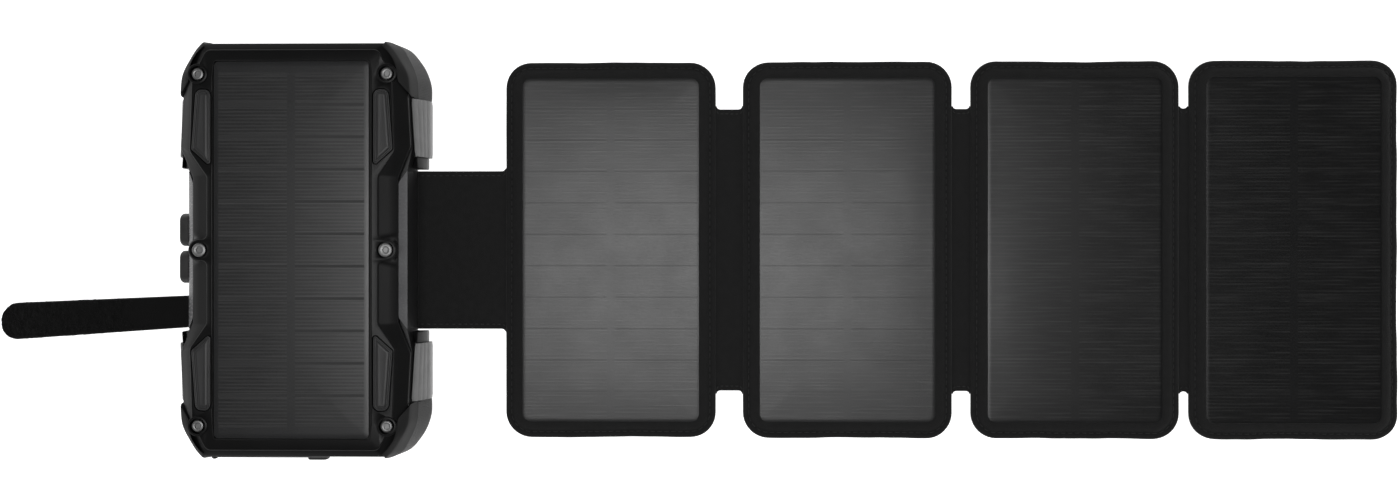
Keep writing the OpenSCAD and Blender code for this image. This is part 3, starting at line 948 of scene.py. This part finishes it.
def make_bumpers():
    stations = 30
    for i, (sx, sy) in CORNERS.items():
        rings = []
        for k in range(stations + 1):
            t = k / stations
            shrink = 0.1 * (1 - ease(min(t, 1 - t), 0.0, 0.04))
            a, b, c, o = (curve_point(curve, t) for curve in (CAP_INNER, CAP_KNEE, CAP_EDGE, OUTER))
            out = Vector((b.x - a.x, b.y - a.y, 0)).normalized()
            lap, down, fall = (b - a).normalized(), (c - b).normalized(), (o - c).normalized()
            profile = [
                Vector((b.x, b.y, 2.6)) - out * 0.7, b - out * 0.8 + Vector((0, 0, -0.9)),
                a + Vector((0, 0, -0.75)), a + Vector((0, 0, -0.12)), a + lap * 0.25, a.lerp(b, 0.4),
                b - lap * 0.7, b - lap * 0.15 + Vector((0, 0, -0.06)), b + down * 0.5, b.lerp(c, 0.35),
                b.lerp(c, 0.7), c - down * 0.7, c - down * 0.12 + fall * 0.05, c + fall * 0.3,
                c.lerp(o, 0.35), c.lerp(o, 0.7), o - fall * 0.4, o + Vector((0, 0, -0.3)),
                Vector((o.x, o.y, 3.1)), Vector((o.x, o.y, 2.75)) - out * 0.2,
                Vector((o.x, o.y, 2.5)) - out * 0.8, Vector((b.x, b.y, 2.5)) - out * 0.4]
            centre = sum(profile, Vector()) / len(profile)
            rings.append([tuple(centre + (p - centre) * (1 - shrink)) for p in profile])
        rings = [[(x * sx, y * sy, z) for x, y, z in ring] for ring in rings]
        bumper = loft(f"bumper_skin_{i}", rings, [RUBBER, CAP_RUBBER], smooth_angle=45)
        for face in bumper.data.polygons:
            face.material_index = 1 if face.center.z > CAP_FROM * MM else 0
        place(bumper, "case", "bumper_rubber", f"bumper_{i}")


def side_x(y):
    """Where the rear shell's side stands at a place along the widened end."""
    if abs(y) > 38.8:
        return END_X - 1.5 * (abs(y) - 38.8) / 27.6
    return END_X - 0.214 * (38.8 - abs(y))


def make_grips():
    """Sloped side grips with ribs that run along the case, and a short clip at the waist end."""
    for i, (sx, sy) in CORNERS.items():
        pieces = []
        for y0, y1, reach, top, skin in ((35.5, 57.3, 48.2, 14.6, GRIP),
                                         (31.2, 35.6, 46.8, 13.4, FRAME)):
            rings = []
            steps = 14
            for k in range(steps + 1):
                y = y0 + (y1 - y0) * k / steps
                pull = 0.05 * (1 - ease(min(y - y0, y1 - y), 0.0, 0.5))
                wall = side_x(y) + 0.1
                x0 = max(wall + 0.35, 44.35 - 1.35 * (y - 36) / 21)
                profile = [(wall, 3.0), (wall, 10.4), (x0 - 0.1, 11.0), (x0 - 0.05, top - 0.4),
                           (x0 + 0.05, top - 0.1), (x0 + 0.3, top)]
                ribs = 28
                for r in range(1, ribs):
                    g = r / ribs
                    ridge = 0.2 * abs(math.sin(g * math.pi * 4)) ** 0.6 if y1 - y0 > 5 else 0.0
                    lift = ridge + 0.3 * math.sin(math.pi * g)
                    profile.append((x0 + 0.45 + (reach - x0 - 0.45) * g + lift * 0.85,
                                    top - (top - 6.6) * g + lift * 0.5))
                profile += [(reach, 6.4), (reach, 3.8), (reach - 0.2, 3.2), (reach - 0.7, 3.0)]
                cx = sum(p[0] for p in profile) / len(profile)
                cz = sum(p[1] for p in profile) / len(profile)
                keep = 1 - pull
                rings.append([((cx + (px - cx) * keep) * sx, y * sy, cz + (pz - cz) * keep)
                              for px, pz in profile])
            pieces.append(loft("grip", rings, [skin], smooth_angle=50))
        grip = joined(f"grip_ribbed_{i}", pieces)
        box_uv(grip.data)
        place(grip, "case", "grip_rubber", f"grip_{i}")


def make_trims():
    """Crescents on the rear shell's shoulder, longer on their outer side."""
    for side in (1, -1):
        rings = []
        x0, z0, x2, z2 = WAIST_FRAME + 0.12, SEAM_Z + 2.35, WAIST_SHELL - 0.05, SEAM_Z + 0.15
        for k in range(61):
            y = -29.7 + 59.4 * k / 60
            start = x0 + (x2 - x0 - 0.2) * (1 - min(1.0, (29.7 - abs(y)) / 4.3))
            g = (start - x0) / (x2 - x0)
            top = z0 + (z2 - z0) * g
            rings.append([(x * side, y, z) for x, z in (
                (start, SEAM_Z + 0.02), (start, top - 0.1), (start + 0.05, top),
                (start + (x2 - start) * 0.3, top + (z2 - top) * 0.3 + 0.1 * (1 - g)),
                (start + (x2 - start) * 0.65, top + (z2 - top) * 0.65 + 0.08 * (1 - g)),
                (x2 - 0.05, z2 + 0.05), (x2, z2 - 0.05), (x2 - 0.05, SEAM_Z + 0.02))])
        name = 1 if side > 0 else 2
        # TRIM carries a painted highlight in its pale albedo
        trim = loft(f"waist_crescent_{name}", rings, [TRIM], smooth_angle=45)
        place(trim, "case", "trim_plastic", f"side_trim_{name}")


def make_buttons():
    for name in ("power_button", "light_button"):
        low, high = mm_box(name)
        y0, y1, z0, z1 = low[1], high[1], low[2], high[2]
        ring = rounded_rect(y0, z0, y1, z1, 3.0, 8)
        x0, x1 = low[0], -WAIST_SHELL - 0.75
        rings = []
        for x, shrink in ((x1, 0.0), (x0 + 0.9, 0.0), (x0 + 0.5, 0.12), (x0 + 0.18, 0.42), (x0 + 0.02, 0.95),
                          (x0, 1.5), (x0 + 0.12, 2.1), (x0 + 0.16, 2.6)):
            rings.append([(x, y, z) for y, z in inset(ring, shrink)])
        cap = loft("cap", rings, [BUTTON], smooth_angle=50)
        stem = lathe("stem", [(1.45, x1 - 0.2), (1.5, x1), (1.5, high[0] - 0.2), (1.3, high[0])],
                     (0, (y0 + y1) / 2, (z0 + z1) / 2), [BUTTON], 24, "x")
        cap = joined(f"{name}_cap", [cap, stem])
        box_uv(cap.data)
        place(cap, name, "button_rubber", name)
    rims = []
    for name in ("power_button", "light_button"):
        low, high = mm_box(name)
        ring = rounded_rect(low[1] - 0.4, low[2] - 0.4, high[1] + 0.4, high[2] + 0.4, 3.4, 8)
        rims.append(loft("rim", [[(x, y, z) for y, z in inset(ring, s)] for x, s in (
            (-WAIST_SHELL + 0.2, 0.0), (-WAIST_SHELL - 0.3, 0.0), (-WAIST_SHELL - 0.4, 0.12),
            (-WAIST_SHELL - 0.4, 0.25), (-WAIST_SHELL + 0.2, 0.25))], [CASE],
            close_start=False, close_end=False))
    rims = joined("button_rims", rims)
    box_uv(rims.data)
    place(rims, "case", "case_plastic")


def make_port_cover():
    low, high = mm_box("port_cover")
    hinge_x, hinge_y = -32.0, -HALF_LEN - 0.9
    z0, z1 = low[2] + 1, high[2] - 1
    y0 = hinge_y - 0.6
    ring = rounded_rect(hinge_x, z0, high[0], z1, 1.2, 6)
    rings = []
    for y, s in ((hinge_y + 0.6, 0.15), (hinge_y + 0.45, 0.0), (y0 + 0.3, 0.0), (y0 + 0.08, 0.12),
                 (y0, 0.35), (y0, 0.9), (y0 + 0.12, 1.1), (y0 + 0.12, 1.5)):
        rings.append([(x, y, z) for x, z in inset(ring, s)])
    flap = loft("flap", rings, [RUBBER], smooth_angle=45)
    tab_ring = rounded_rect(2.0, 7.0, 9.6, 11.4, 1.4, 6)
    tab = loft("tab", [[(x, y, z) for x, z in inset(tab_ring, s)] for y, s in (
        (hinge_y, 0.0), (low[1] + 0.45, 0.0), (low[1] + 0.12, 0.12), (low[1], 0.5), (low[1] + 0.1, 1.2))],
        [RUBBER], smooth_angle=45)
    knuckle = lathe("knuckle", [(0.7, z0), (0.8, z0 + 0.1), (0.8, z1 - 0.1), (0.7, z1)],
                    (hinge_x, hinge_y, 0), [RUBBER], 24)
    pin = lathe("pin", [(0.4, low[2]), (0.5, low[2] + 0.1), (0.5, high[2] - 0.1), (0.4, high[2])],
                (hinge_x, hinge_y, 0), [STEEL], 20)
    cover = joined("port_cover_flap", [flap, tab, knuckle, pin])
    box_uv(cover.data)
    place(cover, "port_cover", "bumper_rubber", "port_cover")


def make_case_laminate():
    low, high = mm_box("body_laminate")
    hx, hy = high[0] - 0.15, high[1] - 0.1
    top = high[2] - 0.12
    ring = densified(rounded_rect(-hx, -hy, hx, hy, 1.8, 8), 4.0)
    rings = [at_height(inset(ring, 0.3), low[2]), at_height(ring, low[2] + 0.2),
             at_height(ring, top - 0.42), at_height(inset(ring, 0.1), top - 0.3),
             at_height(inset(ring, 0.35), top - 0.24)]
    for s in (2.0, 5.0, 10.0, 18.0, 26.0):
        z = top - 0.24 + 0.22 * math.sin(min(1.0, s / 26.0) * math.pi / 2)
        rings.append(at_height(rounded_rect_like(ring, hx, hy, s, 1.8), z))
    material = solar_laminate("case_cells", 11, 12.05, hx, hy, margin=1.7, base=0.024,
                              line_gain=0.8, even=1.0)
    face = loft("case_laminate", rings, [material], smooth_angle=30)
    place(face, "case", "solar_laminate", "body_laminate")


def rounded_rect_like(ring, hx, hy, s, radius):
    """ring, drawn in towards a rectangle that is smaller by s."""
    return onto_rect(ring, hx - s, hy - s, max(0.3, radius - s * 0.3))


# ---------------------------------------------------------------- panels

BORDER = 6.7
STITCH_IN = 2.3


def panel_ring(x0, y0, x1, y1, s):
    """The panel's outline moved in by s, always with the same number of points."""
    radius = max(10.0 - s, 1.6)
    side_x, side_y, arc = 44, 84, 10
    cx0, cx1, cy0, cy1 = x0 + s + radius, x1 - s - radius, y0 + s + radius, y1 - s - radius
    ring = []

    def edge(a, b, n):
        return [(a[0] + (b[0] - a[0]) * k / n, a[1] + (b[1] - a[1]) * k / n) for k in range(n)]

    def turn(cx, cy, start):
        return [(cx + radius * math.cos(math.radians(start + 90 * k / arc)),
                 cy + radius * math.sin(math.radians(start + 90 * k / arc))) for k in range(arc)]

    ring += edge((cx0, y0 + s), (cx1, y0 + s), side_x) + turn(cx1, cy0, -90)
    ring += edge((x1 - s, cy0), (x1 - s, cy1), side_y) + turn(cx1, cy1, 0)
    ring += edge((cx1, y1 - s), (cx0, y1 - s), side_x) + turn(cx0, cy1, 90)
    ring += edge((x0 + s, cy1), (x0 + s, cy0), side_y) + turn(cx0, cy0, 180)
    return ring


def panel_extent(n):
    """Outline of the sewn cover: from fold line to fold line."""
    low, high = mm_box(f"panel_back_{n}")
    x0 = fold_x(f"fold_{n}") + 0.05
    x1 = fold_x(f"lift_{n + 1}") - 0.05 if n < 4 else high[0] + 0.5
    return x0, low[1], x1, high[1]


FRONT_PROFILE = [(0.0, 1.5), (0.08, 1.85), (0.3, 2.14), (0.7, 2.3), (1.15, 2.34), (1.7, 2.24), (2.1, 2.08),
                 (2.3, 2.04), (2.5, 2.08), (2.9, 2.3), (3.5, 2.56), (4.2, 2.74), (5.0, 2.8), (5.7, 2.8),
                 (6.2, 2.77), (6.5, 2.7), (6.66, 2.58), (6.7, 2.42), (6.8, 2.3)]
BACK_PROFILE = [(0.08, 1.15), (0.3, 0.86), (0.7, 0.7), (1.15, 0.66), (1.7, 0.76), (2.1, 0.92), (2.3, 0.96),
                (2.5, 0.92), (2.9, 0.66), (3.5, 0.36), (4.4, 0.12), (5.6, 0.03), (8.0, 0.02)]


def soften(n, x, y, z, s, strength=1.0):
    """Small sewn-fabric waves: the outline wanders and the border puckers along its seam."""
    near = 1 - ease(s, 3.0, 7.0)
    out = (wobble(x, y, n * 3.1, 26.0, 0.26) + wobble(x, y, n * 5.7, 7.0, 0.1) - 0.45) * near
    rise = wobble(x + 50, y, n * 2.3, 11.0, 0.1) + wobble(x, y, n * 9.1, 3.2, 0.05) * near
    side = 1 if z > 1.5 else -1
    lift = rise * strength * (0.25 + 0.75 * min(1.0, abs(z - 1.5)))
    z = max(0.0, min(2.97, z + lift * (1 if side > 0 else 0.4)))
    return out, z


def make_panel(n):
    x0, y0, x1, y1 = panel_extent(n)
    body = f"panel_{n}"
    centre = ((x0 + x1) / 2, (y0 + y1) / 2)

    def laid(s, z):
        ring = []
        for x, y in panel_ring(x0, y0, x1, y1, s):
            out, height = soften(n, x, y, z, s)
            d = Vector((x - centre[0], (y - centre[1]) * 0.55))
            d = d.normalized() if d.length else d
            ring.append((x + d.x * out * (0.3 if n < 4 or x < centre[0] else 1), y + d.y * out, height))
        return ring

    rings = [laid(s, z) for s, z in reversed(BACK_PROFILE)]
    rings += [laid(s, z) for s, z in FRONT_PROFILE]
    cover = loft(f"panel_cover_{n}", rings, [FABRIC], close_end=False, smooth_angle=75)
    nodes = [f"panel_back_{n}", f"panel_front_{n}"]
    place(cover, body, "panel_fabric", *nodes)
    # seam thread on both sides
    verts, faces = [], []
    for z, sign in ((2.04, 1), (0.96, -1)):
        ring = panel_ring(x0, y0, x1, y1, STITCH_IN)
        path = []
        for x, y in ring + ring[:1]:
            out, height = soften(n, x, y, z, STITCH_IN)
            d = Vector((x - centre[0], (y - centre[1]) * 0.55)).normalized()
            path.append((x + d.x * out * (0.3 if n < 4 or x < centre[0] else 1), y + d.y * out,
                         height + sign * 0.05))
        v, f = stitches(path, sign)
        faces += [tuple(i + len(verts) for i in face) for face in f]
        verts += v
    thread = new_object(f"panel_seam_{n}", verts, faces, [THREAD], 60)
    place(thread, body, "panel_fabric")

    low, high = mm_box(f"panel_laminate_{n}")
    cx, cy = (low[0] + high[0]) / 2, (low[1] + high[1]) / 2
    hx, hy = (x1 - x0) / 2 - BORDER + 0.6, (y1 - y0) / 2 - BORDER + 0.6
    cx = centre[0]
    outline = densified(rounded_rect(-hx, -hy, hx, hy, 2.4, 6), 3.0)
    rings = [at_height(outline, 2.0), at_height(outline, 2.38)]
    for s in (0.15, 2.0, 6.0, 12.0, 20.0, 28.0, hx - 1.0):
        ring = rounded_rect_like(outline, hx, hy, s, 2.4)
        rings.append([(x, y, 2.43 + 0.1 * ease(s, 0, 12) + wobble(x, y, n + 20, 45.0, 0.1)
                       * ease(s, 0, 8)) for x, y in ring])
    rings = [[(x + cx, y + cy, z) for x, y, z in ring] for ring in rings]
    cells = solar_laminate(f"panel_cells_{n}", 11, 12.25, hx - 0.6, hy - 0.6, margin=0.4, base=0.012,
                           line_gain=0.5, seam_gain=0.25)
    sheet = loft(f"panel_face_{n}", rings, [cells], smooth_angle=40, uv_origin=(cx, cy))
    place(sheet, body, "solar_laminate", f"panel_laminate_{n}")


# Hinge cloth: its middle height, half thickness and waviness
CLOTH_Z = 1.5
CLOTH_HALF = 0.22
CLOTH_WAVE = 0.02


def make_spine(n):
    """Fabric across gap n, in two halves that each span one fold line."""
    inner, outer = fold_x(f"lift_{n}"), fold_x(f"fold_{n}")
    half = mm_box(f"spine_{n}")[1][1]
    first = "case" if n == 1 else f"panel_{n - 1}"
    spine, last = f"spine_{n}", f"panel_{n}"
    middle = (inner + outer) / 2
    start = inner - (2.2 if n == 1 else 1.4)
    end = outer + 1.4
    flare = 1.6

    def wave(x, y):
        return wobble(x, y, n * 11.3, 9.0, CLOTH_WAVE)

    def half_height(x):
        grow = 0.0
        for edge, use in ((inner, n > 1), (outer, True)):
            if use:
                d = abs(x - edge)
                if d < flare:
                    grow = max(grow, flare - math.sqrt(max(0.0, flare ** 2 - (flare - d) ** 2)))
        return half + grow

    for part, (a, b, x_from, x_to, hinge) in enumerate(((first, spine, start, middle, inner),
                                                       (spine, last, middle, end, outer))):
        xs = []
        steps = max(6, int((x_to - x_from) / 0.45))
        for k in range(steps + 1):
            xs.append(x_from + (x_to - x_from) * k / steps)
        rings = []
        for x in xs:
            reach = half_height(x)
            profile = []
            rows = 72
            for k in range(rows + 1):
                y = -reach + 2 * reach * k / rows
                edge = reach - abs(y)
                round_off = math.sqrt(max(0.0, 1 - (1 - min(1, edge / 0.5)) ** 2))
                thick = CLOTH_HALF * min(1.0, round_off + 0.1)
                dip = 0.06 * math.exp(-((edge - 1.8) / 0.35) ** 2)
                profile.append((x, y, CLOTH_Z + thick - dip + wave(x, y)))
            back = [(x, y, CLOTH_Z - (z - CLOTH_Z - wave(x, y)) + wave(x, y))
                    for x, y, z in reversed(profile)]
            rings.append(profile + back)
        cloth = loft("cloth", rings, [FABRIC], smooth_angle=75)
        verts, faces = [], []
        for sign in (1, -1):
            for side in (1, -1):
                path = []
                for x in xs:
                    if x < inner - 0.4 or x > outer + 0.4:
                        continue
                    y = side * (half_height(x) - 1.8)
                    path.append((x, y, CLOTH_Z + sign * 0.07 + wave(x, y)))
                if len(path) > 1:
                    v, f = stitches(path, sign, pitch=2.3, length=1.6)
                    faces += [tuple(i + len(verts) for i in face) for face in f]
                    verts += v
        pieces = [cloth]
        if verts:
            pieces.append(new_object("thread", verts, faces, [THREAD], 60))
        piece = joined(f"hinge_cloth_{n}_{part + 1}", pieces)
        box_uv(piece.data)
        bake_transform(piece)
        if part == 0:
            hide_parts(spine)


# ---------------------------------------------------------------- strap


def make_strap():
    knee, root = fold_x("strap_fold"), fold_x("strap_lift")
    tip = mm_box("strap_tip")
    z_mid = joints["strap_lift"]["pos_m"][2] / MM
    reach = tip[0][0]
    y_root = joints["strap_lift"]["pos_m"][1] / MM
    y_knee = joints["strap_fold"]["pos_m"][1] / MM
    w_root, w_tip = 6.2, 7.3

    def middle_y(x):
        return y_root + (y_knee - y_root) * (root - x) / (root - knee)

    def half_w(x):
        f = max(0.0, min(1.0, (root - x) / (root - reach)))
        w = w_root + (w_tip - w_root) * f
        end = x - reach
        if end < 6.5:
            w *= math.sqrt(max(0.0, 1 - ((6.5 - end) / 6.5) ** 2)) * 0.86 + 0.14
        return w

    spans = (("strap_cloth_root", "case", "strap_riser", root + 1.6, (root + knee) / 2, root),
             ("strap_cloth_tip", "strap_riser", "strap_tip", (root + knee) / 2, reach, knee))
    rng = random.Random(4)
    for name, a, b, x_from, x_to, hinge in spans:
        steps = int(abs(x_to - x_from) / 0.5)
        rings = []
        for k in range(steps + 1):
            f = k / steps
            if x_to == reach:
                f = 1 - (1 - f) ** 1.35
            x = x_from + (x_to - x_from) * f
            x = max(x, reach + 0.02)
            w, yc = half_w(x), middle_y(x)
            napped = ease(-70 - x, 0, 8)
            top, bottom = [], []
            rows = 26
            for r in range(rows + 1):
                u = -1 + 2 * r / rows
                y = yc + w * u
                edge = (1 - abs(u)) * w
                round_off = math.sqrt(max(0.0, 1 - (1 - min(1, edge / 0.7)) ** 2))
                thick = 0.72 * min(1.0, round_off + 0.08)
                nap = (wobble(x, y, 61, 0.9, 0.16) + wobble(x, y, 67, 2.6, 0.12)) * napped
                sway = wobble(x, 0, 71, 30.0, 0.12)
                groove = 0.1 * math.exp(-((edge - 1.3) / 0.3) ** 2)
                top.append((x, y + wobble(x, y, 73, 1.3, 0.14) * (abs(u) > 0.97) * napped,
                            z_mid + thick + nap - groove + sway))
                bottom.append((x, y, z_mid - thick + sway))
            rings.append(top + bottom[::-1])
        cloth = loft("cloth", rings, [STRAP], smooth_angle=80)
        pieces = [cloth]
        # loops of yarn stand out of the nap
        verts, faces = [], []
        for _ in range(900 if b == "strap_tip" else 160):
            x = rng.uniform(reach + 0.8, -70) if b == "strap_tip" else rng.uniform(-62, -56)
            u = rng.uniform(-1.0, 1.0)
            y = middle_y(x) + half_w(x) * u * 0.985
            loop_at(verts, faces, x, y, z_mid + 0.6, rng)
        if b == "strap_tip":
            pieces.append(new_object("nap", verts, faces, [STRAP], 60))
        piece = joined(name, pieces)
        box_uv(piece.data)
        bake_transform(piece)
        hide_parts(b)


def loop_at(verts, faces, x, y, z, rng):
    """One small loop of yarn."""
    angle = rng.uniform(0, 2 * math.pi)
    size, tall = rng.uniform(0.2, 0.5), rng.uniform(0.25, 0.6)
    radius = 0.05
    base = len(verts)
    count = 6
    for k in range(count):
        f = k / (count - 1)
        a = math.pi * f
        cx = x + math.cos(angle) * size * math.cos(a)
        cy = y + math.sin(angle) * size * math.cos(a)
        cz = z + tall * math.sin(a)
        for c in range(3):
            b = 2 * math.pi * c / 3
            verts.append((cx + radius * math.cos(b) * -math.sin(angle),
                          cy + radius * math.cos(b) * math.cos(angle), cz + radius * math.sin(b)))
        if k:
            for c in range(3):
                d = (c + 1) % 3
                low, high = base + (k - 1) * 3, base + k * 3
                faces.append((low + c, low + d, high + d, high + c))
    faces.append((base, base + 1, base + 2))
    faces.append((base + 3 * count - 3, base + 3 * count - 2, base + 3 * count - 1))


# ---------------------------------------------------------------- build

make_rear_shell()
make_front_frame()
make_inlays()
make_screws()
make_bumpers()
make_grips()
make_trims()
make_buttons()
make_port_cover()
make_case_laminate()
for number in PANELS:
    make_panel(number)
for number in PANELS:
    make_spine(number)
make_strap()

CAD_FINISH = {
    "shell_gasket": GASKET, "circuit_board": BOARD, "lamp_lens": CLEAR, "lamp_led": LED,
    "indicator_lights": CLEAR, "clamp_plate": CASE, "clamp_screws": STEEL, "strip_root": FABRIC,
    "strap_root": STRAP, "loop_patch": STRAP, "usb_socket_1": SOCKET, "usb_socket_2": SOCKET,
    "charge_socket": SOCKET, "battery_cell_1": CELL, "battery_cell_2": CELL,
    **{f"panel_board_{n}": STIFFENER for n in PANELS},
}


def finish_cad_nodes():
    for node, material in CAD_FINISH.items():
        obj = frame["nodes"][node]
        obj.data.materials.clear()
        obj.data.materials.append(material)
        layers = obj.data.uv_layers
        layer = layers[0] if layers else layers.new(name="mm")
        for face in obj.data.polygons:
            nx, ny, nz = (abs(c) for c in face.normal)
            for loop in face.loop_indices:
                x, y, z = (c / MM for c in obj.data.vertices[obj.data.loops[loop].vertex_index].co)
                flat = (x, y) if nz >= max(nx, ny) else None
                layer.data[loop].uv = flat or ((y, z) if nx > ny else (x, z))


finish_cad_nodes()


def make_floor():
    size = 3.0
    mesh = bpy.data.meshes.new("floor")
    mesh.from_pydata([(-size, -size, 0), (size, -size, 0), (size, size, 0), (-size, size, 0)], [],
                     [(0, 1, 2, 3)])
    floor = bpy.data.objects.new("floor", mesh)
    floor.location.z = -0.0002
    bpy.context.collection.objects.link(floor)
    n = Nodes("floor_white")
    uv = n.tree.nodes.new("ShaderNodeTexCoord").outputs["Object"]
    n.set(Base_Color=n.mix(n.noise(uv, 3.0), grey(0.93), grey(0.95)), Roughness=0.9,
          Specular_IOR_Level=0.1, Emission_Color=grey(1.0), Emission_Strength=1.0)
    mesh.materials.append(n.material)


make_floor()
add_world()
add_softbox("overhead", (0.09, -0.03, 1.5), (0.92, 0.46), 9.0)
bpy.context.scene.view_settings.view_transform = "Standard"
